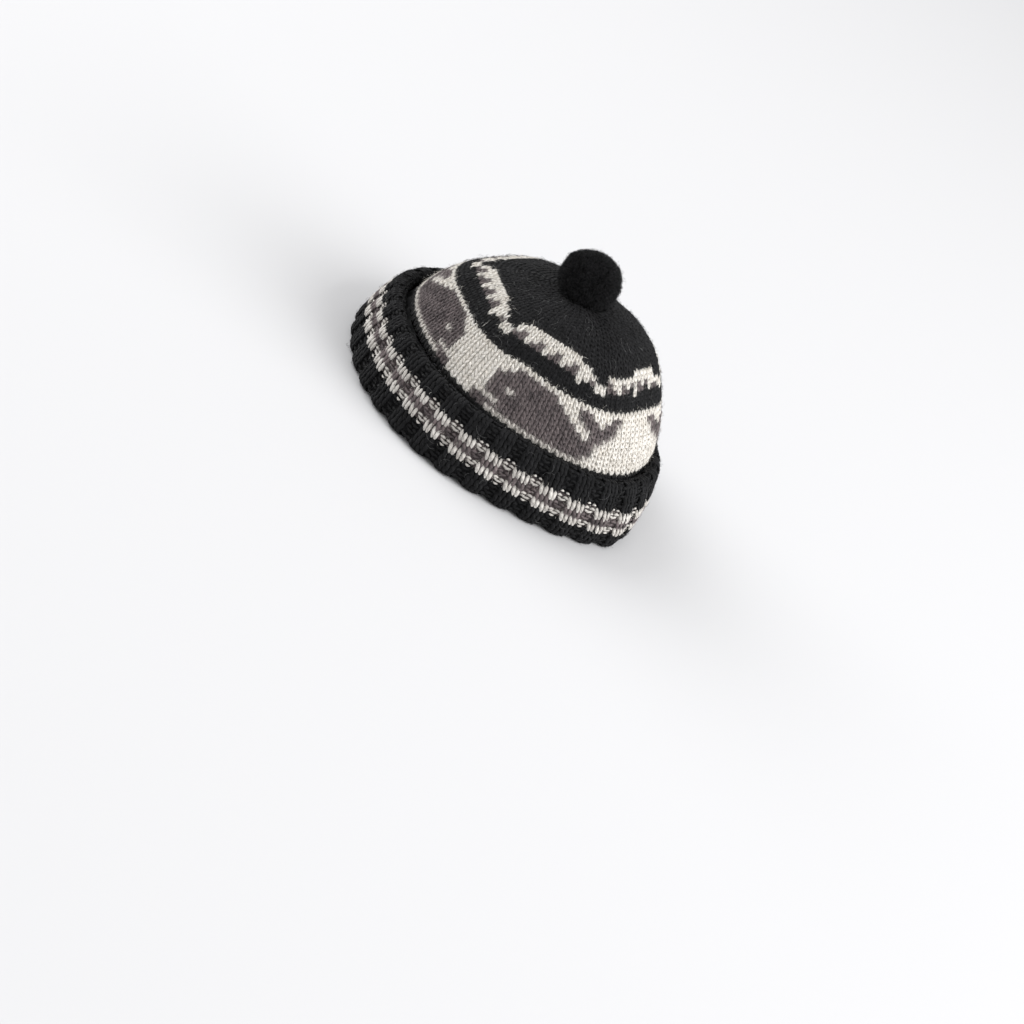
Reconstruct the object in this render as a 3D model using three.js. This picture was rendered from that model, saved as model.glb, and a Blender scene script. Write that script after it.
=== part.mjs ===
// Knit cap with a turned-up ribbed cuff and a pompom.
// Millimetres, +Z up. The cap stands on the fold of its cuff at z = 0.
// The front of the cap looks along -Y and the wearer's left is +X.
import * as THREE from "three";

// Driving sizes
const KNIT_WALL = 4.0; // one layer of the thick knit of the crown
const RIB_WALL = 4.6; // one layer of the rib, which is a little thicker
const EDGE_WALL = 6.2; // the rib plumps out towards its free edge
const SEAT_GAP = 0.3; // left between pieces that touch
const CUFF_HEIGHT = 37.8; // from the fold to the free edge of the cuff
const SPLICE_HEIGHT = 34.3; // where the rib of the inner layer changes to the plain knit of the crown
const FOLD_BOTTOM = 6.5; // inside height of the fold, where the two layers of the cuff part
const POMPOM_RADIUS = 18.0;
const POMPOM_SEAT = 10.6; // height of the ball's middle over its flattened base
const POMPOM_SIDES = 32;
const POMPOM_STEPS = 14; // facets from its base to its top
const SEGMENTS = 72; // facets around the cap
const CROWN_STEPS = 2; // facets between two rows of the crown's table
const LAYER_STEPS = 4; // facets up the inner layer of the cuff
const FIRST_FACET_TURN = -11; // direction of the first decrease line, degrees from +X
const DECREASE_LINES = 6;
const FACET_DEPTH = 0.026; // how far the crown's rings depart from ovals towards a hexagon

// Outer face of the crown, from its lower edge to its top.
// half_width (X) and half_length (Y) are the ring's sizes and back is the shift of its middle to the back.
// rise is how much higher the ring is at the back than at its middle, facet is its share of the hexagon
// and dented is its share of the dents of the cuff below it.
const CROWN = [
  { height: 34.6, half_width: 73.0, half_length: 84.4, back: 2.7, rise: 0.0, facet: 0.0, dented: 0.8 },
  { height: 41.3, half_width: 71.0, half_length: 81.8, back: 2.6, rise: -0.6, facet: 0.3, dented: 0.35 },
  { height: 53.8, half_width: 65.6, half_length: 76.2, back: 2.2, rise: -0.4, facet: 0.7, dented: 0.08 },
  { height: 66.5, half_width: 59.2, half_length: 68.2, back: 2.2, rise: 0.2, facet: 1.0, dented: 0.0 },
  { height: 74.9, half_width: 54.0, half_length: 62.2, back: 2.8, rise: 1.8, facet: 1.0, dented: 0.0 },
  { height: 83.5, half_width: 46.4, half_length: 53.2, back: 2.8, rise: 2.8, facet: 1.0, dented: 0.0 },
  { height: 90.1, half_width: 34.0, half_length: 39.2, back: 2.0, rise: 2.0, facet: 0.9, dented: 0.0 },
  { height: 93.5, half_width: 20.0, half_length: 23.0, back: 1.3, rise: 0.8, facet: 0.5, dented: 0.0 },
  { height: 94.7, half_width: 11.0, half_length: 12.0, back: 1.0, rise: 0.0, facet: 0.0, dented: 0.0 },
];

// Outer face of the turned-up layer, from the fold to just under its free edge.
const CUFF_FACE = [
  { height: 3.6, half_width: 92.2, half_length: 102.0, back: 1.2 },
  { height: 7.3, half_width: 91.0, half_length: 102.2, back: 1.6 },
  { height: 13.8, half_width: 88.8, half_length: 101.6, back: 2.0 },
  { height: 20.3, half_width: 86.2, half_length: 100.4, back: 2.3 },
  { height: 26.8, half_width: 83.6, half_length: 98.2, back: 2.5 },
  { height: 35.3, half_width: 80.4, half_length: 94.8, back: 2.6 },
];

// Section of the fold, from the outer face under the cuff to its inner layer:
// height above the surface the cap stands on, and inward from the outer face.
const FOLD = [
  { height: 1.6, inward: 1.0 },
  { height: 0.0, inward: 3.2 },
  { height: 0.0, inward: 6.4 },
  { height: 1.6, inward: 8.6 },
];

// Rounding of the free edge, from the inside of the turned-up layer to its outer face.
// drop is how far below CUFF_HEIGHT a ring is.
const FREE_EDGE = [
  { drop: 0.6, inward: 4.9 },
  { drop: 0.0, inward: 2.9 },
  { drop: 0.6, inward: 1.0 },
];

// Dents and bulges of the cuff seen from above.
// direction is in degrees from +X and outward is a share of the radius.
const DENTS = [
  { direction: 0, outward: -0.012 },
  { direction: 30, outward: -0.02 },
  { direction: 60, outward: 0.034 },
  { direction: 90, outward: -0.018 },
  { direction: 120, outward: -0.1 },
  { direction: 150, outward: -0.05 },
  { direction: 180, outward: 0.005 },
  { direction: 210, outward: 0.0 },
  { direction: 240, outward: 0.014 },
  { direction: 270, outward: 0.028 },
  { direction: 300, outward: 0.0 },
  { direction: 330, outward: 0.009 },
];

// Creases pressed into the crown: around is the direction in degrees, from and to are heights of its ends,
// depth is how far it goes in and width is its half width in degrees.
const CREASES = [
  { around: 45, from: 81.3, to: 95.3, depth: 2.2, width: 11 },
  { around: 165, from: 79.3, to: 94.3, depth: 1.6, width: 12 },
  { around: -75, from: 81.3, to: 94.3, depth: 1.4, width: 10 },
];

// One smooth value between b and c, with a and d as the values on either side of them.
function smooth(a, b, c, d, t) {
  const slopeB = (c - a) / 2;
  const slopeC = (d - b) / 2;
  const t2 = t * t;
  const t3 = t2 * t;
  return (2 * t3 - 3 * t2 + 1) * b + (t3 - 2 * t2 + t) * slopeB + (3 * t2 - 2 * t3) * c + (t3 - t2) * slopeC;
}

// The outward dent in a direction, read smoothly from the table that goes once around.
function dentAt(angle) {
  const step = (2 * Math.PI) / DENTS.length;
  const place = (((angle / step) % DENTS.length) + DENTS.length) % DENTS.length;
  const i = Math.floor(place);
  const at = (k) => DENTS[(i + k + DENTS.length) % DENTS.length].outward;
  return smooth(at(-1), at(0), at(1), at(2), place - i);
}

// A row between the rows of a table, where place 1.5 is halfway between the second and the third.
function rowAt(table, place) {
  const last = table.length - 1;
  const i = Math.min(Math.floor(place), last - 1);
  const pick = (k, key) => table[THREE.MathUtils.clamp(i + k, 0, last)][key];
  const row = {};
  for (const key of Object.keys(table[0])) {
    row[key] = smooth(pick(-1, key), pick(0, key), pick(1, key), pick(2, key), place - i);
  }
  return row;
}

// How deep the creases are at a direction and a height.
function creaseAt(angle, height) {
  let depth = 0;
  for (const crease of CREASES) {
    const turn = THREE.MathUtils.radToDeg(angle) - crease.around;
    const off = THREE.MathUtils.euclideanModulo(turn + 180, 360) - 180;
    const along = (height - crease.from) / (crease.to - crease.from);
    if (along > 0 && along < 1) {
      depth += crease.depth * Math.sin(Math.PI * along) * Math.exp(-((off / crease.width) ** 2));
    }
  }
  return depth;
}

// The ring of points of one row; inward moves the whole ring in by that many millimetres.
function ring(row, inward = 0) {
  const points = [];
  const facet = row.facet ?? 0;
  const dented = row.dented ?? 1;
  const rise = row.rise ?? 0;
  const firstTurn = THREE.MathUtils.degToRad(FIRST_FACET_TURN);
  for (let i = 0; i < SEGMENTS; i += 1) {
    const angle = (i / SEGMENTS) * 2 * Math.PI;
    const hexagon = FACET_DEPTH * facet * Math.cos(DECREASE_LINES * (angle - firstTurn));
    const swell = 1 + hexagon + dented * dentAt(angle);
    const x = (row.half_width * swell - inward) * Math.cos(angle);
    const y = (row.half_length * swell - inward) * Math.sin(angle);
    points.push(new THREE.Vector3(x, y + row.back, row.height + rise * Math.sin(angle)));
  }
  return points;
}

// A mesh from rings of equal count. A closed strip joins the last ring to the first;
// an open one is closed by a point at each end, given as first and last.
function skin(rings, first, last) {
  const positions = [];
  const index = [];
  const add = (p) => positions.push(p.x, p.y, p.z);
  rings.flat().forEach(add);
  const at = (r, i) => r * SEGMENTS + (i % SEGMENTS);
  const strips = first ? rings.length - 1 : rings.length;
  for (let r = 0; r < strips; r += 1) {
    const next = (r + 1) % rings.length;
    for (let i = 0; i < SEGMENTS; i += 1) {
      index.push(at(r, i), at(r, i + 1), at(next, i + 1));
      index.push(at(r, i), at(next, i + 1), at(next, i));
    }
  }
  if (first) {
    const start = rings.length * SEGMENTS;
    add(first);
    add(last);
    for (let i = 0; i < SEGMENTS; i += 1) {
      index.push(start, at(0, i + 1), at(0, i));
      index.push(start + 1, at(rings.length - 1, i), at(rings.length - 1, i + 1));
    }
  }
  const geometry = new THREE.BufferGeometry();
  geometry.setAttribute("position", new THREE.Float32BufferAttribute(positions, 3));
  geometry.setIndex(index);
  geometry.computeVertexNormals();
  return geometry;
}

// The points of the crown's outer face and, KNIT_WALL below them along the normal, of its inner face.
function crownFaces() {
  const outer = [];
  const lastPlace = CROWN.length - 1;
  for (let step = 0; step <= lastPlace * CROWN_STEPS; step += 1) {
    const row = rowAt(CROWN, step / CROWN_STEPS);
    const points = ring(row);
    points.forEach((p, i) => {
      p.z -= creaseAt((i / SEGMENTS) * 2 * Math.PI, row.height);
    });
    outer.push(points);
  }
  const inner = outer.map((points, r) =>
    points.map((p, i) => {
      const around = points[(i + 1) % SEGMENTS].clone().sub(points[(i + SEGMENTS - 1) % SEGMENTS]);
      const above = outer[Math.min(r + 1, outer.length - 1)][i];
      const below = outer[Math.max(r - 1, 0)][i];
      const normal = around.cross(above.clone().sub(below)).normalize();
      if (r === 0) {
        normal.z = 0;
        normal.normalize();
      }
      return p.clone().addScaledVector(normal, -KNIT_WALL);
    }),
  );
  return { outer, inner };
}

function crownGeometry() {
  const { outer, inner } = crownFaces();
  const topRow = CROWN[CROWN.length - 1];
  const innerTop = new THREE.Vector3(0, topRow.back, topRow.height - KNIT_WALL);
  const outerTop = new THREE.Vector3(0, topRow.back, topRow.height);
  return skin([...inner.reverse(), ...outer], innerTop, outerTop);
}

// The cuff's section is followed once around: down the outer face, under the fold, up the inner layer,
// down into the fold between the layers and up the inside of the turned-up layer.
function cuffGeometry() {
  const splice = { ...CROWN[0], height: SPLICE_HEIGHT, rise: 0 };
  const foot = CUFF_FACE[0];
  const edge = CUFF_FACE[CUFF_FACE.length - 1];
  const outerFace = [...CUFF_FACE].reverse();
  const innerLayer = (share, inward) => {
    const row = {};
    for (const key of ["height", "half_width", "half_length", "back"]) {
      row[key] = THREE.MathUtils.lerp(foot[key], splice[key], share);
    }
    row.dented = THREE.MathUtils.lerp(1, splice.dented, share);
    return ring(row, THREE.MathUtils.lerp(inward + RIB_WALL + SEAT_GAP, inward, share));
  };
  const rings = outerFace.map((row) => ring(row));
  for (const point of FOLD) {
    rings.push(ring({ ...foot, height: point.height }, point.inward));
  }
  for (let step = 0; step <= LAYER_STEPS; step += 1) {
    rings.push(innerLayer(step / LAYER_STEPS, KNIT_WALL));
  }
  rings.push(ring(splice));
  for (let step = LAYER_STEPS - 1; step > 0; step -= 1) {
    rings.push(innerLayer(step / LAYER_STEPS, 0));
  }
  rings.push(ring({ ...foot, height: FOLD_BOTTOM }, RIB_WALL + SEAT_GAP / 2));
  CUFF_FACE.slice(2).forEach((row, i, inside) => {
    rings.push(ring(row, THREE.MathUtils.lerp(RIB_WALL, EDGE_WALL, i / (inside.length - 1))));
  });
  for (const point of FREE_EDGE) {
    rings.push(ring({ ...edge, height: CUFF_HEIGHT - point.drop }, point.inward));
  }
  return skin(rings.reverse());
}

// A ball of cut yarn, pressed flat where it sits on the crown.
function pompomGeometry() {
  const profile = [new THREE.Vector2(0, -POMPOM_SEAT)];
  const from = -Math.asin(POMPOM_SEAT / POMPOM_RADIUS);
  for (let i = 0; i <= POMPOM_STEPS; i += 1) {
    const angle = THREE.MathUtils.lerp(from, Math.PI / 2, i / POMPOM_STEPS);
    const radius = i === POMPOM_STEPS ? 0 : POMPOM_RADIUS * Math.cos(angle);
    profile.push(new THREE.Vector2(radius, POMPOM_RADIUS * Math.sin(angle)));
  }
  const geometry = new THREE.LatheGeometry(profile, POMPOM_SIDES);
  geometry.rotateX(Math.PI / 2);
  return geometry;
}

function piece(name, geometry, colour, roughness) {
  const material = new THREE.MeshStandardMaterial({ color: colour, roughness, metalness: 0 });
  const mesh = new THREE.Mesh(geometry, material);
  mesh.name = name;
  return mesh;
}

const BLACK_WOOL = 0x1d1e21;
const CREAM_WOOL = 0xd9d4c7;

const cap = new THREE.Group();
const crown = piece("crown", crownGeometry(), CREAM_WOOL, 0.95);
const cuff = piece("cuff", cuffGeometry(), BLACK_WOOL, 0.95);
const pompom = piece("pompom", pompomGeometry(), BLACK_WOOL, 1.0);
const crownTop = CROWN[CROWN.length - 1];
pompom.position.set(0, crownTop.back, crownTop.height + SEAT_GAP + POMPOM_SEAT);
cap.add(crown, cuff, pompom);

// The cap's own middle, seen from above, stands over the origin.
const middle = new THREE.Box3().setFromObject(cap).getCenter(new THREE.Vector3());
cap.position.set(-middle.x, -middle.y, 0);

export default cap;
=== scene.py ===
# %% [markdown]
# # A knit cap, stitch by stitch
# The cap is thick wool knitted in the round: a ribbed cuff turned up outside, a band of swimming
# whales, a stepped border, a plain black top and a pompom. The plain model of it is loaded first.
# Every piece made here keeps to that model's frame, so nothing has to be placed afterwards. The form
# isn't quite that model's: it departs by up to 7 mm at the back of the cuff, by up to 5 mm near the
# top of the crown and by up to 3 mm along the cuff's free edge.

# %% Load the plain model
import math

import bpy
import numpy as np
from mathutils import Matrix, Vector


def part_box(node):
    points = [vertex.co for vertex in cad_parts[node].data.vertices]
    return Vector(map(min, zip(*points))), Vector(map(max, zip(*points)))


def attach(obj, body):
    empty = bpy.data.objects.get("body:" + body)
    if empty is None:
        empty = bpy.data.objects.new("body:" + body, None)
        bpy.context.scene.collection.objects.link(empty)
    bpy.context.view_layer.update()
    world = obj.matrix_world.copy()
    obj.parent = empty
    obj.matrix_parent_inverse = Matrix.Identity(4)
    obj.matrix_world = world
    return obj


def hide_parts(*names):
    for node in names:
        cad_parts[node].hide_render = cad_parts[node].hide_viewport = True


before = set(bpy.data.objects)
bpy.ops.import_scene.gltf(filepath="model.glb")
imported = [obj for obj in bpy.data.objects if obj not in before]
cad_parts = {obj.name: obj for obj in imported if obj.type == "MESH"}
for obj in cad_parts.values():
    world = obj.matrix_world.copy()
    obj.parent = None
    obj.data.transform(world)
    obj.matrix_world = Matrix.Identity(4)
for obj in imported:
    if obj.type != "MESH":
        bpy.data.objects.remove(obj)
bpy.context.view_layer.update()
MM = 0.001

# %% [markdown]
# ## The camera
# The cap is seen from its left side, a little from behind and above, and it leans back in the
# picture. A turned camera gives the lean, so the cap itself can stand level on the floor. The
# elevation, the roll and the aim are results of a least-squares fit to curves read off the photograph.
# The camera looks a little beside the cap, which leaves the cap up and right of the middle.

# %% Camera
AZIMUTH = math.radians(105.0)
ELEVATION = math.radians(25.86)
ROLL = math.radians(33.21)
DISTANCE = 1.5
LENS = 92.3
PICTURE_WIDTH = 1024
LOOK_AT_HEIGHT = 47.3 * MM
LOOK_AT_RIGHT, LOOK_AT_BELOW = 61.6, 143.2  # the picture's middle from the cap's, before the turn

low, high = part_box("pompom")
CROWN_TOP_BACK = 1.0
SHIFT = np.array([(low.x + high.x) / 2, (low.y + high.y) / 2 - CROWN_TOP_BACK * MM, 0.0]) / MM


def place_camera():
    """A camera at the viewing angle; up is kept square to the line of sight and then rolled."""
    back = Vector((
        math.sin(AZIMUTH) * math.cos(ELEVATION),
        -math.cos(AZIMUTH) * math.cos(ELEVATION),
        math.sin(ELEVATION),
    ))
    right = Vector((math.cos(AZIMUTH), math.sin(AZIMUTH), 0.0))
    up = back.cross(right)
    data = bpy.data.cameras.new("camera")
    data.lens = LENS
    data.clip_end = 50.0
    pixels = LENS / data.sensor_width * PICTURE_WIDTH
    sight = (right * LOOK_AT_RIGHT - up * LOOK_AT_BELOW - back * pixels).normalized()
    back_of_camera = -sight
    level_up = (up - back_of_camera * up.dot(back_of_camera)).normalized()
    level_right = level_up.cross(back_of_camera)
    camera_up = level_up * math.cos(ROLL) - level_right * math.sin(ROLL)
    camera_right = camera_up.cross(back_of_camera)
    turn = Matrix((camera_right, camera_up, back_of_camera)).transposed()
    camera = bpy.data.objects.new("camera", data)
    target = Vector((SHIFT[0] * MM, SHIFT[1] * MM, LOOK_AT_HEIGHT))
    camera.matrix_world = Matrix.Translation(target + back * DISTANCE) @ turn.to_4x4()
    bpy.context.scene.collection.objects.link(camera)
    bpy.context.scene.camera = camera
    return camera


camera = place_camera()
print("camera at", [round(value, 3) for value in camera.matrix_world.translation])

# %% [markdown]
# ## The form under the stitches
# A cap like this could be sculpted, but its stitches have to follow it, so the form is a formula.
# Rings stand above each other, each with a height, two half sizes and a few soft departures from
# an oval. A short table holds the rings, and a smooth curve is read between its rows.
# The rings began as a least-squares fit to curves read off the photograph. The outer rows of
# the cuff are still within about 2 mm of that fit, and the crown's were changed further.
# All lengths are millimetres until the meshes are made.

# %% Tables of the form
FACET_DEPTH = 0.026
FACETS = 6
FIRST_FACET = math.radians(-11)


def table(names, *rows):
    """Named columns from rows of numbers."""
    return dict(zip(names, np.array(rows, float).T))


CROWN = table(
    ("height", "half_width", "half_length", "back", "rise", "facet", "dented"),
    (34.6, 73.0, 84.4, 2.7, 0.0, 0.0, 0.8),
    (41.3, 71.0, 81.8, 2.6, -0.6, 0.3, 0.25),
    (53.8, 65.6, 76.2, 2.2, -0.4, 0.7, 0.08),
    (66.5, 59.2, 68.0, 1.8, 0.2, 1.0, 0.0),
    (74.9, 54.0, 61.6, 1.8, 1.4, 1.0, 0.0),
    (83.5, 46.4, 53.0, 2.4, 2.6, 1.0, 0.0),
    (90.1, 34.8, 40.4, 3.0, 3.4, 0.9, 0.0),
    (93.5, 21.0, 25.6, 3.2, 2.8, 0.5, 0.0),
    (94.7, 11.0, 12.0, 1.4, 0.6, 0.0, 0.0),
)

# The cuff's section, once from the top of its inner layer to the groove behind its free edge.
# inward is how far the skin lies inside the outer face at that height, and tuck is what is added
# to it at the front and the back, where the free edge rolls in to the crown.
CUFF = table(
    ("height", "half_width", "half_length", "back", "inward", "tuck", "dented"),
    (34.3, 73.0, 84.4, 2.7, 4.0, 0.0, 0.80),
    (26.6, 77.8, 88.8, 2.3, 5.2, 0.0, 0.85),
    (18.9, 82.6, 93.2, 1.9, 6.4, 0.0, 0.90),
    (11.3, 87.4, 97.6, 1.6, 7.7, 0.0, 0.95),
    (3.6, 92.2, 102.0, 1.2, 8.9, 0.0, 1.00),
    (0.9, 92.2, 102.0, 1.2, 7.8, 0.0, 1.00),
    (0.0, 92.2, 102.0, 1.2, 4.8, 0.0, 1.00),
    (0.9, 92.2, 102.0, 1.2, 1.7, 0.0, 1.00),
    (3.6, 92.2, 102.0, 1.2, 0.0, 0.0, 1.00),
    (7.3, 91.0, 102.2, 1.6, 0.0, 0.0, 1.00),
    (13.8, 88.8, 101.6, 2.0, 0.0, 0.0, 1.00),
    (20.3, 86.2, 100.4, 2.3, 0.0, 0.0, 1.00),
    (26.8, 83.6, 98.2, 2.5, 0.0, 0.0, 1.00),
    (35.3, 80.4, 94.8, 2.6, 0.0, 0.0, 1.00),
    (37.2, 80.4, 94.8, 2.6, 1.0, 0.2, 1.00),
    (37.8, 80.4, 94.8, 2.6, 2.9, 0.8, 1.00),
    (37.1, 80.4, 94.8, 2.6, 5.0, 2.0, 1.00),
    (34.0, 80.9, 95.3, 2.6, 6.3, 2.8, 1.00),
    (29.0, 82.7, 97.3, 2.5, 5.8, 1.8, 1.00),
)

# Dents and bulges of the cuff, a share of the radius, every 30 degrees from +X
DENTS = np.array((0.0, -0.02, 0.034, -0.018, -0.1, -0.05, 0.005, 0.0, 0.014, 0.028, -0.006, 0.0))

# The soft corner at the back: direction, shares of the radius outwards at the foot and at the
# free edge, width in degrees
CORNER = ((70, 0.03, 0.0, 9), (98, -0.065, 0.004, 13))
CORNER_HEIGHT = 37.0

CREASES = table(
    ("around", "start", "end", "depth", "width"),
    (45, 81.3, 95.3, 2.2, 11),
    (165, 79.3, 94.3, 1.6, 12),
    (-75, 81.3, 94.3, 1.4, 10),
)

# %% Read the tables smoothly


def smooth(a, b, c, d, t):
    """One smooth value between b and c, with a and d on either side of them."""
    slope_b = (c - a) / 2
    slope_c = (d - b) / 2
    t2, t3 = t * t, t * t * t
    start = (2 * t3 - 3 * t2 + 1) * b + (t3 - 2 * t2 + t) * slope_b
    return start + (3 * t2 - 2 * t3) * c + (t3 - t2) * slope_c


def read(rows, place):
    """All columns of a table at a place between its rows."""
    last = len(rows["height"]) - 1
    i = np.clip(np.floor(place).astype(int), 0, last - 1)
    near = [np.clip(i + k, 0, last) for k in (-1, 0, 1, 2)]
    return {name: smooth(*(column[k] for k in near), place - i) for name, column in rows.items()}


def dent_at(angle, height):
    place = np.mod(angle / math.tau * len(DENTS), len(DENTS))
    i = np.floor(place).astype(int)
    near = [DENTS[(i + k) % len(DENTS)] for k in (-1, 0, 1, 2)]
    dent = smooth(*near, place - i)
    up = np.clip(height / CORNER_HEIGHT, 0, 1)
    for around, foot, edge, width in CORNER:
        off = np.mod(np.degrees(angle) - around + 180, 360) - 180
        dent = dent + (foot + (edge - foot) * up) * np.exp(-((off / width) ** 2))
    return dent


def crease_at(angle, height):
    depth = np.zeros(np.broadcast(angle, height).shape)
    for around, start, end, deep, width in zip(*CREASES.values()):
        off = np.mod(np.degrees(angle) - around + 180, 360) - 180
        along = np.clip((height - start) / (end - start), 0, 1)
        depth = depth + deep * np.sin(math.pi * along) * np.exp(-((off / width) ** 2))
    return depth


def ring_point(row, angle, inward=0.0):
    hexagon = FACET_DEPTH * row.get("facet", 0.0) * np.cos(FACETS * (angle - FIRST_FACET))
    swell = 1 + hexagon + row["dented"] * dent_at(angle, row["height"])
    x = (row["half_width"] * swell - inward) * np.cos(angle)
    y = (row["half_length"] * swell - inward) * np.sin(angle) + row["back"]
    z = row["height"] + row.get("rise", 0.0) * np.sin(angle)
    return np.stack(np.broadcast_arrays(x, y, z), -1) + SHIFT


def rows_along(rows, origin_place, row_height):
    """The first and last row of knitting on a section, and a function from rows to table places."""
    places = np.linspace(0, len(rows["height"]) - 1, 600)
    at = read(rows, places)
    radius = (at["half_width"] + at["half_length"]) / 2 - at.get("inward", 0.0)
    steps = np.hypot(np.diff(radius), np.diff(at["height"]))
    arc = np.concatenate([[0.0], np.cumsum(steps)])
    arc = (arc - np.interp(origin_place, places, arc)) / row_height
    return arc[0], arc[-1], lambda row: np.interp(row, arc, places)


# %% [markdown]
# ## Surfaces measured in stitches
# Knitting is a grid: rows go up and columns go round. The crown and the cuff each become a surface
# that is asked for a row and a direction and gives a point, so a stitch is placed by its row and
# column alone. The cuff's surface has the rib's ridges and valleys in it.

# %% Crown surface
CROWN_ROW = 2.9  # height of a row of plain knitting
BAND_START_PLACE = 0.59  # where the picture band begins, between the table's first two rows
FIRST_LINE = -12.0  # direction of the first line of decreases, degrees
SECTORS = 6
STITCHES_PER_SECTOR = 16
ROW_LIFT, ROW_LEAN = 0.3, 0.55  # the rows ride higher at the front than at the back, in rows
STEADY_ROW, STEADY_ROWS, STEADY_SHARE = 12.0, 3.0, 0.6  # the top of the band leans less
SAGS = (
    # direction, row, how many rows down, width in degrees, spread in rows
    (58.0, 16.5, 0.75, 17.0, 3.5),
    (-56.0, 16.5, -0.5, 22.0, 3.5),
    (-125.0, 17.0, -1.0, 25.0, 4.0),
    (8.0, 11.0, -0.6, 9.0, 2.0),
    (50.0, 11.0, -0.3, 30.0, 2.0),
    (92.0, 11.5, -0.4, 14.0, 2.0),
    (-98.0, 11.5, -1.4, 22.0, 3.0),
    (-30.0, 0.0, -0.6, 28.0, 2.2),
    (-80.0, 0.0, -0.8, 24.0, 2.2),
)
BORDER_TOP_ROW, LEAN_FADE_ROWS = 26.0, 6.0  # above the border the lean dies out

crown_first, crown_last, crown_place = rows_along(CROWN, BAND_START_PLACE, CROWN_ROW)


def crown_surface(row, angle):
    sag = 0.0
    for around, middle_row, down, width, spread in SAGS:
        off = np.mod(np.degrees(angle) - around + 180, 360) - 180
        sag = sag + down * np.exp(-((off / width) ** 2) - ((row - middle_row) / spread) ** 2)
    steady = STEADY_SHARE * np.exp(-(((row - STEADY_ROW) / STEADY_ROWS) ** 2))
    lean = (ROW_LIFT - ROW_LEAN * np.sin(angle)) * (1 - steady)
    fade = np.clip((BORDER_TOP_ROW - row) / LEAN_FADE_ROWS, 0, 1)
    at = read(CROWN, crown_place(row + lean * fade - sag))
    point = ring_point(at, angle)
    point[..., 2] -= crease_at(angle, at["height"])
    return point


print(f"crown: rows {crown_first:.2f} to {crown_last:.2f}")

# %% Cuff surface
CUFF_ROW = 4.4
STRIPE_START_PLACE = 10.05  # just over the height of 13.8 on the outer face
RIB_REPEATS = 34
RIB_START = math.radians(3.15)  # direction where a rib begins
RIB_COLUMNS = 4  # two knit and two purl
RIB_EDGES = np.array((0.0, 0.31, 0.62, 0.81, 1.0))  # knit columns spread and purl ones close up
RIDGE_MIDDLE = 0.31
RIDGE_HEIGHT, VALLEY_DEPTH = 0.5, 1.7
EDGE_FADE_ROWS = 2.4  # the ribs flatten out over the free edge
STRIPE_LEAN = 0.95  # the stripe runs lower at the back, in rows
FRONT_DROP, FRONT_MIDDLE, FRONT_WIDTH = 0.45, math.radians(-95), math.radians(28)
STRIPE_MIDDLE_ROW, STRIPE_SPREAD = 1.5, 3.7

cuff_first, cuff_last, cuff_place = rows_along(CUFF, STRIPE_START_PLACE, CUFF_ROW)


def rib_share(column):
    """Share of a rib repeat at a column number, with wide knit and narrow purl columns."""
    repeat = np.floor(column / RIB_COLUMNS)
    return repeat + np.interp(column - repeat * RIB_COLUMNS, np.arange(RIB_COLUMNS + 1), RIB_EDGES)


def with_normals(surface, along, across, step=0.05, turn_step=0.004):
    """Points of a surface and the directions that stand out from it."""
    point = surface(along, across)
    up = surface(along + step, across) - surface(along - step, across)
    side = surface(along, across + turn_step) - surface(along, across - turn_step)
    normal = np.cross(side, up)
    return point, normal / np.maximum(np.linalg.norm(normal, axis=-1, keepdims=True), 1e-9)


def smooth_cuff(row, angle):
    around = np.mod(angle - FRONT_MIDDLE + math.pi, math.tau) - math.pi
    lean = STRIPE_LEAN * np.sin(angle) + FRONT_DROP * np.exp(-((around / FRONT_WIDTH) ** 2))
    at = read(CUFF, cuff_place(row - lean * np.exp(-(((row - STRIPE_MIDDLE_ROW) / STRIPE_SPREAD) ** 2))))
    return ring_point(at, angle, at["inward"] + at["tuck"] * np.sin(angle) ** 2)


def free_edge_row():
    rows = np.linspace(cuff_first, cuff_last, 500)
    return rows[np.argmax(read(CUFF, cuff_place(rows))["height"])]


EDGE_ROW = free_edge_row()


def cuff_surface(row, angle):
    """The cuff with its ridges and valleys raised from the smooth form."""
    point, normal = with_normals(smooth_cuff, row, angle)
    share = (angle - RIB_START) / math.tau * RIB_REPEATS
    wave = np.cos(math.tau * (share - RIDGE_MIDDLE))
    relief = np.where(wave > 0, RIDGE_HEIGHT * wave, VALLEY_DEPTH * wave)
    fade = np.clip((EDGE_ROW - row) / EDGE_FADE_ROWS, 0, 1)
    return point + normal * (relief * fade * fade * (3 - 2 * fade))[..., None]


def cuff_angle(column):
    return RIB_START + rib_share(column) / RIB_REPEATS * math.tau


print(f"cuff: rows {cuff_first:.2f} to {cuff_last:.2f}, free edge at {EDGE_ROW:.2f}")

# %% [markdown]
# ## Charts
# A knitter works from squared paper, one square a stitch, and so does this cap. The charts are read
# from the bottom up: `#` is grey wool, `.` is cream and `b` is black. The whale is turned round
# for each second figure, so that two of them meet nose to nose. The charts were typed with the
# photograph unrolled under a stitch grid beside them.

# %% Whale band and border charts
BLACK, CREAM, GREY = 0, 1, 2
YARNS = {"b": BLACK, ".": CREAM, "#": GREY}

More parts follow.
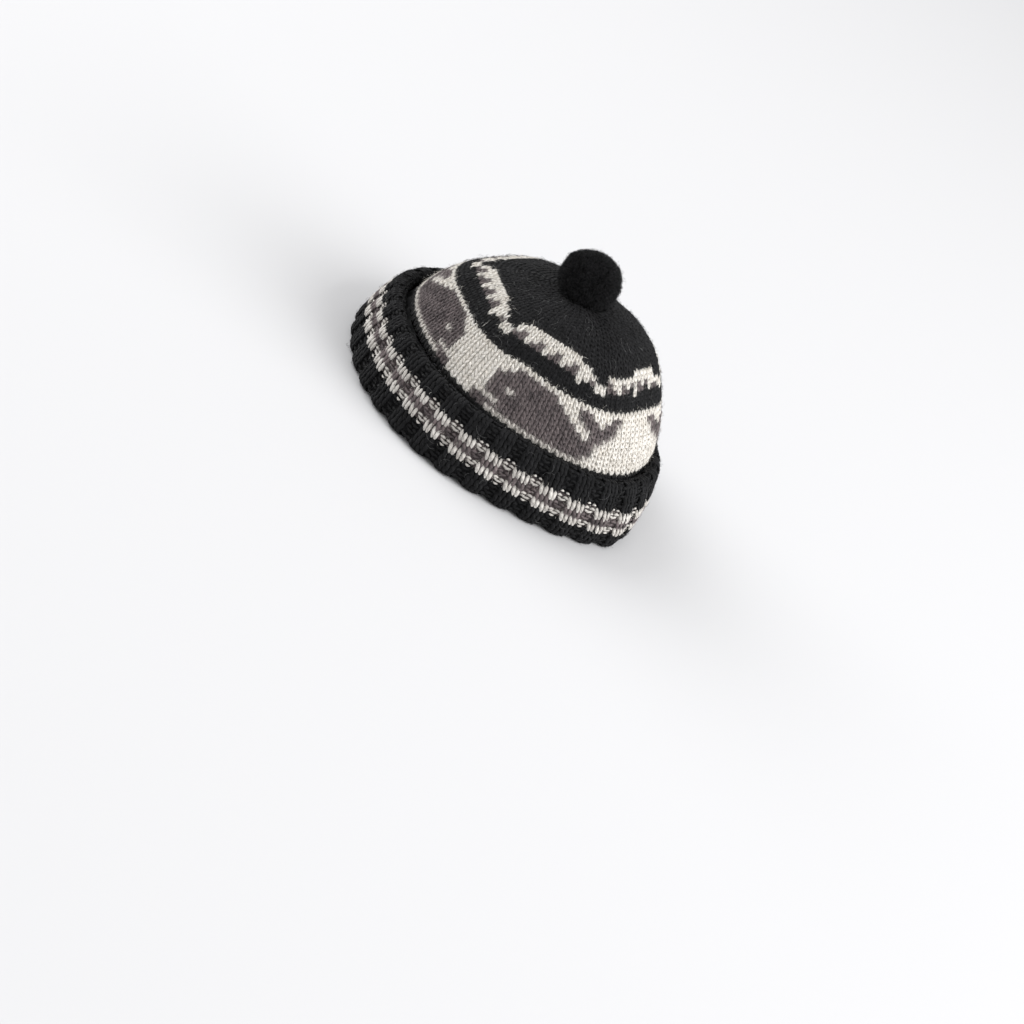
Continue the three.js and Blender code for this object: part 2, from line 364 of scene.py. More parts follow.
WHALE = (
    "...................",
    "...######...##...##",
    "..########..###.##.",
    ".##########..#####.",
    ".###########..###..",
    ".##.#########.##...",
    ".##############....",
    ".##############....",
    "...############....",
    "##############.....",
    "##.................",
)
NOSE_GAP, TAIL_GAP = 4, 6  # cream stitches between two noses and between two tails
BORDER = (
    "bb..........bbbb",
    "b.............bb",
    "b.#..#..#..#...b",
    ".##.##.##.##..#.",
    ".bbbbbbbbbbb.bb.",
)
BORDER_AT_START = (
    "bbbbbbb......bbb",
    "b............bbb",
    "b#..#.#.#.#....b",
    ".##.##b.##b.##..",
    ".bbbbbb.bbbbbbb.",
)
START_SECTOR = 1  # where the rounds begin, the pattern steps up by a row
BAND_ROWS = len(WHALE)
STRIPE_ROWS = 3
BORDER_START = BAND_ROWS + STRIPE_ROWS
BORDER_END = BORDER_START + len(BORDER)
COLUMNS = SECTORS * STITCHES_PER_SECTOR


def chart_rows(rows):
    """A chart as numbers, its lowest row first."""
    return np.array([[YARNS[mark] for mark in row] for row in reversed(rows)])


def band_chart():
    whale = chart_rows(WHALE)
    nose = np.full((BAND_ROWS, NOSE_GAP // 2), CREAM)
    tail = np.full((BAND_ROWS, TAIL_GAP // 2), CREAM)
    half = np.hstack([nose, whale, tail])
    pair = np.hstack([half, half[:, ::-1]])
    return np.hstack([pair, pair])


band, border, start_border = band_chart(), chart_rows(BORDER), chart_rows(BORDER_AT_START)


def yarn_at(row, column):
    """The yarn of a stitch of the crown; columns count from the first decrease line."""
    if 0 <= row < BAND_ROWS:
        return band[row, column % COLUMNS]
    if BORDER_START <= row < BORDER_END:
        sector, stitch = divmod(column % COLUMNS, STITCHES_PER_SECTOR)
        return (start_border if sector == START_SECTOR else border)[row - BORDER_START, stitch]
    return BLACK


STRIPE = (CREAM, GREY, CREAM)


def cuff_yarn(row):
    return STRIPE[row] if 0 <= row < len(STRIPE) else BLACK


print("band chart", band.shape, "grey stitches", int((band == GREY).sum()))

# %% [markdown]
# ## One stitch
# On the right side of knitting each stitch is a V of two plump legs that dive under the next one.
# The loops could be swept as one endless yarn, but only the legs show. So each leg is a closed
# grain: a tube whose rings swell and close to a point at both ends. A purl stitch shows two small
# arcs that lie across, and they are grains too. All grains of one kind are made in one go.

# %% Grains on a surface


def grain_faces(sides, rings):
    """Faces of one grain: ring after ring, then the two end points."""
    quads, tris = [], []
    first, last = rings * sides, rings * sides + 1
    for k in range(sides):
        nxt = (k + 1) % sides
        for r in range(rings - 1):
            quads.append((r * sides + k, r * sides + nxt, (r + 1) * sides + nxt, (r + 1) * sides + k))
        tris.append((first, nxt, k))
        tris.append((last, (rings - 1) * sides + k, (rings - 1) * sides + nxt))
    return np.array(quads), np.array(tris)


def grains(centre, normal, wide, thick, sides, tone, around=None):
    """Closed tubes along rows of centre points. The first and last points are the closed ends.
    around is the tint of the wool next to each centre point, where that shows."""
    count, stations = centre.shape[:2]
    rings = stations - 2
    tangent = centre[:, 2:] - centre[:, :-2]
    tangent /= np.maximum(np.linalg.norm(tangent, axis=-1, keepdims=True), 1e-9)
    side = np.cross(tangent, normal[:, 1:-1])
    side /= np.maximum(np.linalg.norm(side, axis=-1, keepdims=True), 1e-9)
    out = np.cross(side, tangent)
    turn = np.arange(sides) / sides * math.tau
    cos, sin = np.cos(turn), np.sin(turn)
    ring = (
        centre[:, 1:-1, None]
        + side[:, :, None] * (wide[..., None] * cos)[..., None]
        + out[:, :, None] * (thick[..., None] * sin)[..., None]
    )
    points = np.concatenate([ring.reshape(count, -1, 3), centre[:, :1], centre[:, -1:]], 1)
    steps = np.linalg.norm(np.diff(centre, axis=1), axis=-1)
    run = np.concatenate([np.zeros((count, 1)), np.cumsum(steps, 1)], 1)
    strand = np.empty(points.shape)
    strand[:, :-2, 0] = np.tile(cos, rings)
    strand[:, :-2, 1] = np.tile(sin, rings)
    strand[:, :-2, 2] = np.repeat(run[:, 1:-1], sides, 1)
    strand[:, -2:, :2] = (0.0, 1.0)
    strand[:, -2, 2], strand[:, -1, 2] = run[:, 0], run[:, -1]
    neighbours = np.zeros(points.shape)
    if around is not None:
        neighbours[:, :-2] = np.repeat(around[:, 1:-1], sides, 1)
        neighbours[:, -2], neighbours[:, -1] = around[:, 0], around[:, -1]
    quads, tris = grain_faces(sides, rings)
    offset = np.arange(count)[:, None, None] * points.shape[1]
    return {
        "points": points.reshape(-1, 3),
        "quads": (quads + offset).reshape(-1, 4),
        "tris": (tris + offset).reshape(-1, 3),
        "strand": strand.reshape(-1, 3),
        "tone": np.repeat(tone, points.shape[1]),
        "neighbours": neighbours.reshape(-1, 3),
    }


def join(parts):
    """Several sets of grains as one."""
    offsets = np.cumsum([0] + [len(part["points"]) for part in parts[:-1]])
    point_values = ("points", "strand", "tone", "neighbours")
    joined = {key: np.concatenate([part[key] for part in parts]) for key in point_values}
    for key in ("quads", "tris"):
        joined[key] = np.concatenate([part[key] + start for part, start in zip(parts, offsets)])
    return joined


# %% Meshes from arrays
FLOOR_CLEARANCE = 0.05
made = []


def show(name, shape, materials, faces_yarn=None, mingling=0.0):
    """A smooth mesh object in metres that rides with the cap. Nothing of it dips under the floor."""
    points = shape["points"].copy()
    points[:, 2] = np.maximum(points[:, 2], FLOOR_CLEARANCE)
    faces = shape["quads"].tolist() + shape["tris"].tolist()
    mesh = bpy.data.meshes.new(name)
    mesh.from_pydata((points * MM).tolist(), [], faces)
    mesh.polygons.foreach_set("use_smooth", np.ones(len(faces), bool))
    strand = mesh.attributes.new("strand", "FLOAT_VECTOR", "POINT")
    strand.data.foreach_set("vector", shape["strand"].astype(np.float32).ravel())
    tone = mesh.attributes.new("tone", "FLOAT", "POINT")
    tone.data.foreach_set("value", shape["tone"].astype(np.float32))
    if mingling:
        neighbours = mesh.attributes.new("neighbours", "FLOAT_VECTOR", "POINT")
        neighbours.data.foreach_set("vector", shape["neighbours"].astype(np.float32).ravel())
        share = mesh.attributes.new("mingling", "FLOAT", "POINT")
        share.data.foreach_set("value", np.full(len(points), mingling, np.float32))
    for material in materials:
        mesh.materials.append(material)
    if faces_yarn is not None:
        mesh.polygons.foreach_set("material_index", faces_yarn.astype(np.int32))
    mesh.update()
    piece = bpy.data.objects.new(name, mesh)
    bpy.context.scene.collection.objects.link(piece)
    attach(piece, "root")
    triangles = 2 * len(shape["quads"]) + len(shape["tris"])
    made.append((name, triangles))
    print(f"{name}: {triangles} triangles")
    return piece


# %% [markdown]
# ## Wool
# Three yarns share one spin: a soft two-ply wool with a halo. The plies show as slanting furrows,
# darkened with painted shade; fine fibres break up the light and are painted paler as highlights,
# and the dye takes unevenly. Each effect is a node group, so every yarn sets its own strength. The
# soft bloom at the edges is the shader's sheen.

# %% Node group helpers


def group(name, inputs, outputs):
    """A shader node group with named sockets; the values of inputs are their defaults."""
    tree = bpy.data.node_groups.new(name, "ShaderNodeTree")
    for socket, value in inputs.items():
        made_socket = tree.interface.new_socket(socket, in_out="INPUT", socket_type="NodeSocketFloat")
        made_socket.default_value = value
    for socket in outputs:
        tree.interface.new_socket(socket, in_out="OUTPUT", socket_type="NodeSocketFloat")
    return tree, tree.nodes.new("NodeGroupInput"), tree.nodes.new("NodeGroupOutput")


def math_node(tree, operation, first, second=None, third=None):
    node = tree.nodes.new("ShaderNodeMath")
    node.operation = operation
    for socket, value in zip(node.inputs, (first, second, third)):
        if value is None:
            continue
        if isinstance(value, (int, float)):
            socket.default_value = value
        else:
            tree.links.new(value, socket)
    return node.outputs[0]


def noise(tree, scale, detail, vector, roughness=0.6):
    node = tree.nodes.new("ShaderNodeTexNoise")
    node.inputs["Detail"].default_value = detail
    node.inputs["Roughness"].default_value = roughness
    if isinstance(scale, (int, float)):
        node.inputs["Scale"].default_value = scale
    else:
        tree.links.new(scale, node.inputs["Scale"])
    tree.links.new(vector, node.inputs["Vector"])
    return node.outputs["Fac"]


# %% Plied yarn group


def plied_yarn_group():
    """Slanting furrows between two plies, from where a point lies round and along its grain."""
    tree, given, result = group("plied yarn", {"Turns per mm": 0.32}, ["Height"])
    strand = tree.nodes.new("ShaderNodeAttribute")
    strand.attribute_name = "strand"
    parts = tree.nodes.new("ShaderNodeSeparateXYZ")
    tree.links.new(strand.outputs["Vector"], parts.inputs[0])
    cos, sin, run = parts.outputs
    cos_squared = math_node(tree, "MULTIPLY", cos, cos)
    sin_squared = math_node(tree, "MULTIPLY", sin, sin)
    double_cos = math_node(tree, "SUBTRACT", cos_squared, sin_squared)
    double_sin = math_node(tree, "MULTIPLY", math_node(tree, "MULTIPLY", cos, sin), 2.0)
    phase = math_node(tree, "MULTIPLY", math_node(tree, "MULTIPLY", run, given.outputs[0]), math.tau)
    wave = math_node(
        tree, "ADD",
        math_node(tree, "MULTIPLY", double_cos, math_node(tree, "COSINE", phase)),
        math_node(tree, "MULTIPLY", double_sin, math_node(tree, "SINE", phase)),
    )
    tree.links.new(math_node(tree, "MULTIPLY_ADD", wave, 0.5, 0.5), result.inputs["Height"])
    return tree


plied_yarn = plied_yarn_group()

# %% Wool fibre group


def wool_fibre_group():
    """Fine hairs as stretched noise in two directions, and soft uneven patches of dye."""
    tree, given, result = group("wool fibre", {"Fineness": 2600.0, "Patch size": 110.0}, ["Hair", "Patch"])
    place = tree.nodes.new("ShaderNodeTexCoord").outputs["Object"]
    hairs = []
    for turn in ((0.5, 0.2, 0.9), (-0.7, 0.6, -0.4)):
        stretched = tree.nodes.new("ShaderNodeMapping")
        stretched.inputs["Rotation"].default_value = turn
        stretched.inputs["Scale"].default_value = (1.0, 0.22, 1.0)
        tree.links.new(place, stretched.inputs["Vector"])
        hairs.append(noise(tree, given.outputs["Fineness"], 3.0, stretched.outputs[0], 0.7))
    tree.links.new(math_node(tree, "MAXIMUM", *hairs), result.inputs["Hair"])
    tree.links.new(noise(tree, given.outputs["Patch size"], 3.0, place), result.inputs["Patch"])
    return tree


wool_fibre = wool_fibre_group()

# %% Wool material
# The first share is how much the pale hairs, painted as highlights, cover the wool's own colour.
HAIR_HIGHLIGHT_SHARE, WOOL_SHEEN, PLY_DEPTH = 0.4, 0.1, 0.0005
# The second value is painted shade: the furrows between the plies are coloured darker than their crowns.
PATCH_CONTRAST, PLY_FURROW_SHADE = 1.6, 0.35  # how far the dye's patches and the furrows shift the tone
# Those pale hairs are painted highlight: loose fibres coloured paler where they would catch the light.
HAIR_START, HAIR_FULL = 0.62, 0.78  # the part of the hair noise that reads as single pale hairs


def mix_colour(tree, factor, first, second):
    node = tree.nodes.new("ShaderNodeMix")
    node.data_type = "RGBA"
    tree.links.new(factor, node.inputs["Factor"])
    for socket, value in ((node.inputs[6], first), (node.inputs[7], second)):
        if isinstance(value, tuple):
            socket.default_value = (*value, 1.0)
        else:
            tree.links.new(value, socket)
    return node.outputs[2]


def wool(name, dark, light, hair_highlight, hair_highlight_share=HAIR_HIGHLIGHT_SHARE, sheen=WOOL_SHEEN, ply_depth=PLY_DEPTH):
    """Wool between a dark and a light tone, with paler single hairs over it, painted as highlights."""
    material = bpy.data.materials.new(name)
    material.use_nodes = True
    tree = material.node_tree
    shader = tree.nodes["Principled BSDF"]
    yarn = tree.nodes.new("ShaderNodeGroup")
    yarn.node_tree = plied_yarn
    fibre = tree.nodes.new("ShaderNodeGroup")
    fibre.node_tree = wool_fibre
    tone = tree.nodes.new("ShaderNodeAttribute")
    tone.attribute_name = "tone"
    patch = math_node(tree, "MULTIPLY_ADD", fibre.outputs["Patch"], PATCH_CONTRAST, -PATCH_CONTRAST / 2)
    # The tone falls in the furrows between the plies, painted shade, and shifts with the dye's patches.
    depth = math_node(tree, "MULTIPLY_ADD", yarn.outputs["Height"], PLY_FURROW_SHADE, patch)
    mixed = math_node(tree, "ADD", tone.outputs["Fac"], depth)
    soft = tree.nodes.new("ShaderNodeClamp")
    tree.links.new(mixed, soft.inputs["Value"])
    colour = mix_colour(tree, soft.outputs[0], dark, light)
    hairs = tree.nodes.new("ShaderNodeMapRange")
    hairs.inputs["From Min"].default_value = HAIR_START
    hairs.inputs["From Max"].default_value = HAIR_FULL
    hairs.inputs["To Max"].default_value = hair_highlight_share
    tree.links.new(fibre.outputs["Hair"], hairs.inputs["Value"])
    # Paler hairs over the wool's colour: painted highlight of loose fibres that catch the light.
    colour = mix_colour(tree, hairs.outputs[0], colour, hair_highlight)
    mingling, neighbours = (tree.nodes.new("ShaderNodeAttribute") for _ in range(2))
    mingling.attribute_name, neighbours.attribute_name = "mingling", "neighbours"
    colour = mix_colour(tree, mingling.outputs["Fac"], colour, neighbours.outputs["Color"])
    tree.links.new(colour, shader.inputs["Base Color"])
    rough = math_node(tree, "MULTIPLY_ADD", fibre.outputs["Hair"], 0.2, 0.78)
    tree.links.new(rough, shader.inputs["Roughness"])
    shader.inputs["Sheen Weight"].default_value = sheen
    shader.inputs["Sheen Roughness"].default_value = 0.6
    shader.inputs["Specular IOR Level"].default_value = 0.25
    bump = tree.nodes.new("ShaderNodeBump")
    bump.inputs["Distance"].default_value = ply_depth
    bump.inputs["Strength"].default_value = 0.9
    height = math_node(tree, "MULTIPLY_ADD", fibre.outputs["Hair"], 0.8, yarn.outputs["Height"])
    tree.links.new(height, bump.inputs["Height"])
    tree.links.new(bump.outputs["Normal"], shader.inputs["Normal"])
    return material


black_wool = wool(
    "black wool", (0.002, 0.002, 0.0024), (0.008, 0.008, 0.009), (0.045, 0.045, 0.047), sheen=0.02)
cream_wool = wool("cream wool", (0.72, 0.67, 0.60), (0.91, 0.88, 0.83), (0.95, 0.93, 0.90))
grey_wool = wool(
    "grey wool", (0.035, 0.027, 0.029), (0.18, 0.146, 0.146), (0.38, 0.33, 0.32), hair_highlight_share=0.5)
WOOLS = (black_wool, cream_wool, grey_wool)
# Cream under grey stitches looks dimmer than the open cream ground. The narrow cream stripe is
# painted darker as shade, since the cuff faces down and away from the light.
mingled_wool = wool(
    "cream wool mingled with grey", (0.36, 0.33, 0.31), (0.66, 0.62, 0.58), (0.85, 0.82, 0.78))
stripe_wool_painted_shade = wool("cream stripe wool, painted shade", (0.46, 0.43, 0.40), (0.68, 0.65, 0.61), (0.85, 0.82, 0.78))
CUFF_WOOLS = (black_wool, stripe_wool_painted_shade, grey_wool)
YARN_NAMES = ("black", "cream", "grey")
print("yarns:", [material.name for material in WOOLS])

# %% [markdown]
# ## The crown's stitches
# The crown has 96 stitches round. Towards the top they are worked together in pairs on six lines,
# so each row is given the even count of stitches that fits its size. The legs of a V stand close
# at the tip and part upwards, and each leg sinks at its ends to pass under its neighbours. In worn
# wool the fibres of one stitch reach over the next, so each leg also carries the tint around it.

# %% Legs of the crown's V stitches
rng = np.random.default_rng(7)
LEG_STATIONS = np.array((0.0, 0.11, 0.36, 0.64, 0.89, 1.0))
LEG_TIP, LEG_SPREAD = 0.09, 0.29  # sideways from the stitch's middle, in stitch widths
LEG_START, LEG_RISE = -0.45, 1.55  # in rows
LEG_FULL = (0.0, 0.7, 1.0, 1.0, 0.7, 0.0)
LEG_LEVELS = (-0.55, -0.25, -0.1, -0.1, -0.3, -0.75)  # from the plain form, from tip to top
LEG_WIDE, LEG_THICK = 0.19, 0.65
LEG_SKEW = -0.12  # the spin of the yarn pulls every V to one side, in stitch widths
SLIP, UNEVEN_LIFT, UNEVEN_ROW, UNEVEN_SIZE = 0.018, 0.09, 0.035, 0.06  # how far hand work wanders
LEG_TONE, LEG_TONE_SPREAD = 0.45, 0.22
TOP_STITCH_WIDTH = 4.1
MATTED = 1.45  # the black wool is matted, so its legs spread wider

TINTS = np.array(((0.006, 0.006, 0.007), (0.80, 0.76, 0.70), (0.10, 0.083, 0.084)))
tint_chart = TINTS[[[yarn_at(r, c) for c in range(COLUMNS)] for r in range(-1, BORDER_END + 1)]]
MINGLE_REACH = 0.42  # how far fibres reach over their neighbours, in stitches
MINGLE_SHARES = (0.06, 0.38, 0.32)  # how much of the neighbours shows on black, cream and grey
STITCH_MIDDLE = 0.33  # height of a stitch's middle over its own line, in rows


def swell(stations, fullness=0.5):
    """How thick a grain is along its length, from end to end."""
    return np.sin(math.pi * (0.06 + 0.88 * stations)) ** fullness


def sector_count(row):
    """Stitches between two decrease lines in a row."""
    if row < BORDER_END:
        return STITCHES_PER_SECTOR
    at = read(CROWN, crown_place(np.array(float(row))))
    around = math.tau * (at["half_width"] + at["half_length"]) / 2 / SECTORS
    return int(np.clip(2 * round(around / TOP_STITCH_WIDTH / 2), 2, STITCHES_PER_SECTOR))


def crown_stitches():
    """For each stitch: row, direction of its middle, width in radians, yarn, and if grey is above."""
    lines = []
    for row in range(math.ceil(crown_first), math.floor(crown_last)):
        count = sector_count(row)
        width = math.tau / SECTORS / count
        for column in range(SECTORS * count):
            middle = math.radians(FIRST_LINE) + (column + 0.5) * width
            under_grey = yarn_at(row + 1, column) == GREY
            lines.append((row, middle, width, yarn_at(row, column), under_grey))
    return np.array(lines)


def knit_legs(
        surface, row, middle, width, width_mm, v=(LEG_TIP, LEG_SPREAD, LEG_SKEW), proud=0.0, sides=6,
        stations=LEG_STATIONS, tint_of=None):
    """Both legs of every stitch, the left one first. v is the place of the tip, the spread and the skew."""
    count = len(row)
    parts = []
    for side in (-1, 1):
        t = stations[None, :]
        ease = t * t * (3 - 2 * t)
        slip = rng.normal(0, SLIP, (count, 1))
        lift = proud + rng.normal(0, UNEVEN_LIFT, (count, 1))
        along = row[:, None] + LEG_START + LEG_RISE * t + rng.normal(0, UNEVEN_ROW, (count, 1))
        aside = side * (v[0] + v[1] * ease) + v[2] * (ease - 0.5) + slip
        across = middle[:, None] + width[:, None] * aside
        point, normal = with_normals(surface, along, across)
        raised = np.interp(t, LEG_STATIONS, LEG_LEVELS) + lift
        centre = point + normal * raised[..., None]
        full = np.interp(t[:, 1:-1], LEG_STATIONS, LEG_FULL) * rng.normal(1, UNEVEN_SIZE, (count, 1))
        wide = LEG_WIDE * width_mm[:, None] * full
        thick = LEG_THICK * full
        around = tint_of(along, across) if tint_of else None
        tone = rng.normal(LEG_TONE, LEG_TONE_SPREAD, count)
        parts.append(grains(centre, normal, wide, thick, sides, tone, around))
    return join(parts)


def mingled_tint(along, across):
    """The tint of the wool around a place of the crown, where the nearest stitches count most."""
    column = (across - math.radians(FIRST_LINE)) / math.tau * COLUMNS
    total, weights = 0.0, 0.0
    for up in (-1, 0, 1):
        for aside in (-1, 0, 1):
            r, c = np.floor(along) + up, np.floor(column) + aside
            far = (along - r - STITCH_MIDDLE) ** 2 + (column - c - 0.5) ** 2
            weight = np.exp(-far / (2 * MINGLE_REACH ** 2))[..., None]
            on_chart = np.clip(r, -1, BORDER_END).astype(int) + 1, np.mod(c, COLUMNS).astype(int)
            total = total + weight * tint_chart[on_chart]
            weights = weights + weight
    return total / weights


stitches = crown_stitches()
row, middle, width, yarn, under_grey = stitches.T
under_grey = under_grey > 0
at = read(CROWN, crown_place(row))
width_mm = width * (at["half_width"] + at["half_length"]) / 2
for colour in (BLACK, CREAM, GREY):
    pick = yarn == colour
    groups = {"crown_" + YARN_NAMES[colour] + "_stitches": (pick, WOOLS[colour])}
    if colour == BLACK:
        top = row >= BORDER_END
        groups = {
            "crown_black_stitches": (pick & ~top, black_wool),
            "crown_top_stitches": (pick & top, black_wool),
        }
    if colour == CREAM:
        groups = {
            "crown_cream_stitches": (pick & ~under_grey, cream_wool),
            "crown_mingled_stitches": (pick & under_grey, mingled_wool),
        }
    for name, (chosen, material) in groups.items():
        plump = MATTED if colour == BLACK else 1.0
        legs = knit_legs(
            crown_surface, row[chosen], middle[chosen], width[chosen], width_mm[chosen] * plump,
            tint_of=mingled_tint)
        show(name, legs, [material], mingling=MINGLE_SHARES[colour])

# %% [markdown]
# ## The fabric behind the stitches
# Between the legs one sees the fabric's own depth, and from below one sees its wrong side. A thin
# shell fills the wall, with a face for each stitch in its own yarn, in a tone a little darker than
# the legs' as painted shade between them; on the cuff the stripe's faces are all painted grey as
# shade. On the wrong side of plain knitting each stitch is a small bump that lies across, so the
# shell's inside is set with those.

# %% Crown fabric
SHELL_OUTER, SHELL_INNER = -0.5, -3.3
HEM_INSET = 0.02  # rows; the wall starts just inside the end of the section


def shell(surface, rows, outer, inner, yarn_of, angle_of, around, close_top):
    """A closed wall between two offsets of a surface, with the yarn of every face."""
    angle = angle_of(np.arange(around))
    along, across = np.meshgrid(rows, angle, indexing="ij")
    point, normal = with_normals(surface, along, across)
    loops = np.concatenate([point + normal * outer, (point + normal * inner)[::-1]])
    levels = len(loops)
    index = np.arange(levels * around).reshape(levels, around)
    strips = levels - 1 if close_top else levels
    quads, colours = [], []
    for level in range(strips):
        if close_top and level == len(rows) - 1:
            continue
        here, above = index[level], index[(level + 1) % levels]
        quads.append(np.stack([here, np.roll(here, -1), np.roll(above, -1), above], 1))
        back_level = level if level < len(rows) else levels - 2 - level
        knit_row = math.floor(rows[min(back_level, len(rows) - 1)])
        colours.append(np.array([yarn_of(knit_row, column) for column in range(around)]))
    points = loops.reshape(-1, 3)
    tris = np.zeros((0, 3), int)
    quads = np.concatenate(quads)
    colours = np.concatenate(colours)
    if close_top:
        bottom = np.stack([index[-1], np.roll(index[-1], -1), np.roll(index[0], -1), index[0]], 1)
        quads = np.concatenate([quads, bottom])
        colours = np.concatenate([colours, np.zeros(around, int)])
        tops = []
        for level, face_up in ((len(rows) - 1, True), (len(rows), False)):
            centre = len(points) + len(tops)
            loop = index[level]
            fan = (loop, np.roll(loop, -1)) if face_up else (np.roll(loop, -1), loop)
            tris = np.concatenate([tris, np.stack([*fan, np.full(around, centre)], 1)])
            tops.append(loops[level].mean(0))
        points = np.concatenate([points, tops])
        colours = np.concatenate([colours, np.zeros(2 * around, int)])
    blank = np.zeros((len(points), 3))
    # The wall's tone sits below the legs', nearer the yarn's dark end: painted shade between the legs.
    tone = rng.normal(0.3, 0.1, len(points))
    return {"points": points, "quads": quads, "tris": tris, "strand": blank, "tone": tone}, colours


def crown_angle(column):
    return math.radians(FIRST_LINE) + column * math.tau / COLUMNS


whole_rows = np.arange(math.ceil(crown_first), crown_last, 1.0)
crown_rows = np.concatenate([[crown_first + HEM_INSET], whole_rows, [crown_last]])
shape, colours = shell(
    crown_surface, crown_rows, SHELL_OUTER, SHELL_INNER, yarn_at, crown_angle, COLUMNS, True)
crown_fabric = show("crown_fabric", shape, WOOLS, colours)
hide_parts("crown")

# %% Wrong side of the crown
BUMP_STATIONS = np.array((0.0, 0.15, 0.5, 0.85, 1.0))
PLAIN_STATIONS = np.array((0.0, 0.5, 1.0))
BUMP_DEPTH = -3.35
BUMP_WIDE, BUMP_THICK, BUMP_REACH, BUMP_BOW = 0.95, 0.8, 0.6, -0.18


def across_grains(
        surface, along, across, half_width, bow, out, wide, thick, sides, facing=1.0,
        stations=BUMP_STATIONS):
    """Grains that lie across the columns; bow lifts their ends by that many rows."""
    count = len(along)
    t = stations[None, :]
    x = 2 * t - 1
    rows_at = along[:, None] + bow * x * x + rng.normal(0, 0.03, (count, 1))
    turn = across[:, None] + half_width[:, None] * x
    point, normal = with_normals(surface, rows_at, turn)
    raised = out + (np.sqrt(1 - 0.999 * x * x) - 1) * thick * 0.9 * facing
    centre = point + normal * raised[..., None]
    full = swell(t[:, 1:-1]) * rng.normal(1, 0.06, (count, 1))
    return grains(centre, normal * facing, wide * full, thick * full, sides, rng.normal(0.4, 0.15, count))


for colour in (BLACK, CREAM, GREY):
    pick = yarn == colour
    bumps = across_grains(
        crown_surface, row[pick] + 0.5, middle[pick], width[pick] * BUMP_REACH, BUMP_BOW, BUMP_DEPTH,
        BUMP_WIDE, BUMP_THICK, 5, -1.0, PLAIN_STATIONS)
    show("crown_" + YARN_NAMES[colour] + "_wrong_side", bumps, [WOOLS[colour]])

# %% [markdown]
# ## The ribbed cuff
# Two knit columns swell into a ridge and two purl columns sink into a valley, 34 times round. The
# cuff's rows run from the top of its inner layer down the inside, round the fold, up the
# outer face and over the free edge. The stripe is three rows: cream, grey, and cream again.
# In a valley the arcs of one row lie among those of the next, which scatters the stripe's edge.

# %% Cuff stitches
CUFF_LEG_WIDE, CUFF_V = 6.2, (0.17, 0.12, -0.22)
STRIPE_PROUD = (0.0, 0.15, 0.1)  # how far black, cream and grey legs stand out
PURL_WIDE, PURL_THICK = 0.84, 0.7
OUTER_ROWS = -4  # rows from here up are seen from outside


def knit_columns():
    """Row and column of every knit stitch of the cuff."""
    rows = np.arange(math.ceil(cuff_first), math.floor(cuff_last))
    columns = [repeat * RIB_COLUMNS + k for repeat in range(RIB_REPEATS) for k in (0, 1)]
    grid = np.array([(r, c) for r in rows for c in columns], float)
    return grid[:, 0], grid[:, 1]


def knit_angles(column):
    """Direction of a column's middle and its width in radians."""
    start, end = cuff_angle(column), cuff_angle(column + 1)
    return (start + end) / 2, end - start


knit_row, knit_column = knit_columns()
knit_middle, knit_width = knit_angles(knit_column)
knit_yarn = np.array([cuff_yarn(int(r)) for r in knit_row])
outside = knit_row >= OUTER_ROWS
INNER_STATIONS = np.array((0.0, 0.2, 0.55, 0.87, 1.0))


def cuff_legs(chosen, proud=0.0, sides=6, stations=LEG_STATIONS):
    wide = np.full(int(chosen.sum()), CUFF_LEG_WIDE)
    return knit_legs(
        cuff_surface, knit_row[chosen], knit_middle[chosen], knit_width[chosen], wide, CUFF_V, proud,
        sides, stations)


def purl_arcs(rows, kinds):
    """Arcs in every valley of these rows. A kind is a place in the valley, a height and a half width."""
    parts, row_of = [], []
    valleys = np.arange(RIB_REPEATS) * RIB_COLUMNS
    for r in rows:
        for centre, height, half in kinds:
            start = cuff_angle(valleys + centre - half)
            end = cuff_angle(valleys + centre + half)
            parts.append((np.full(RIB_REPEATS, r + height), (start + end) / 2, (end - start) / 2))
            row_of += [r] * RIB_REPEATS
    along, turn, half = (np.concatenate(column) for column in zip(*parts))
    return along, turn, half, np.array(row_of)


FEET = ((3.0, 0.2, 0.85),)
HEADS = ((2.45, 0.7, 0.5), (3.55, 0.7, 0.5))
PEEKING_HEADS = ((2.45, 1.22, 0.36), (3.55, 1.22, 0.36))
PEEKING_FEET = ((3.0, -0.24, 0.5),)
ARC_OUT, PEEK_OUT, PEEK_WIDE, PEEK_THICK = 0.1, 0.5, 0.7, 0.6
cuff_row_range = range(math.ceil(cuff_first), math.floor(cuff_last))


def cuff_purls(colour, outer, sides):
    """All purl arcs of one yarn on the outside or on the inside of the cuff."""
    rows = [r for r in cuff_row_range if cuff_yarn(r) == colour and (r >= OUTER_ROWS) == outer]
    parts = []
    for kinds, bow in ((FEET, 0.24), (HEADS, -0.1)):
        along, turn, half, _ = purl_arcs(rows, kinds)
        arcs = across_grains(
            cuff_surface, along, turn, half, bow, ARC_OUT, PURL_WIDE, PURL_THICK, sides)
        parts.append(arcs)
    for kinds, bow, step in ((PEEKING_HEADS, -0.1, 1), (PEEKING_FEET, 0.12, -1)):
        edge_rows = [r for r in rows if colour != BLACK and cuff_yarn(r + step) == BLACK]
        if edge_rows:
            along, turn, half, _ = purl_arcs(edge_rows, kinds)
            arcs = across_grains(
                cuff_surface, along, turn, half, bow, PEEK_OUT, PEEK_WIDE, PEEK_THICK, sides)
            parts.append(arcs)
    return join(parts)


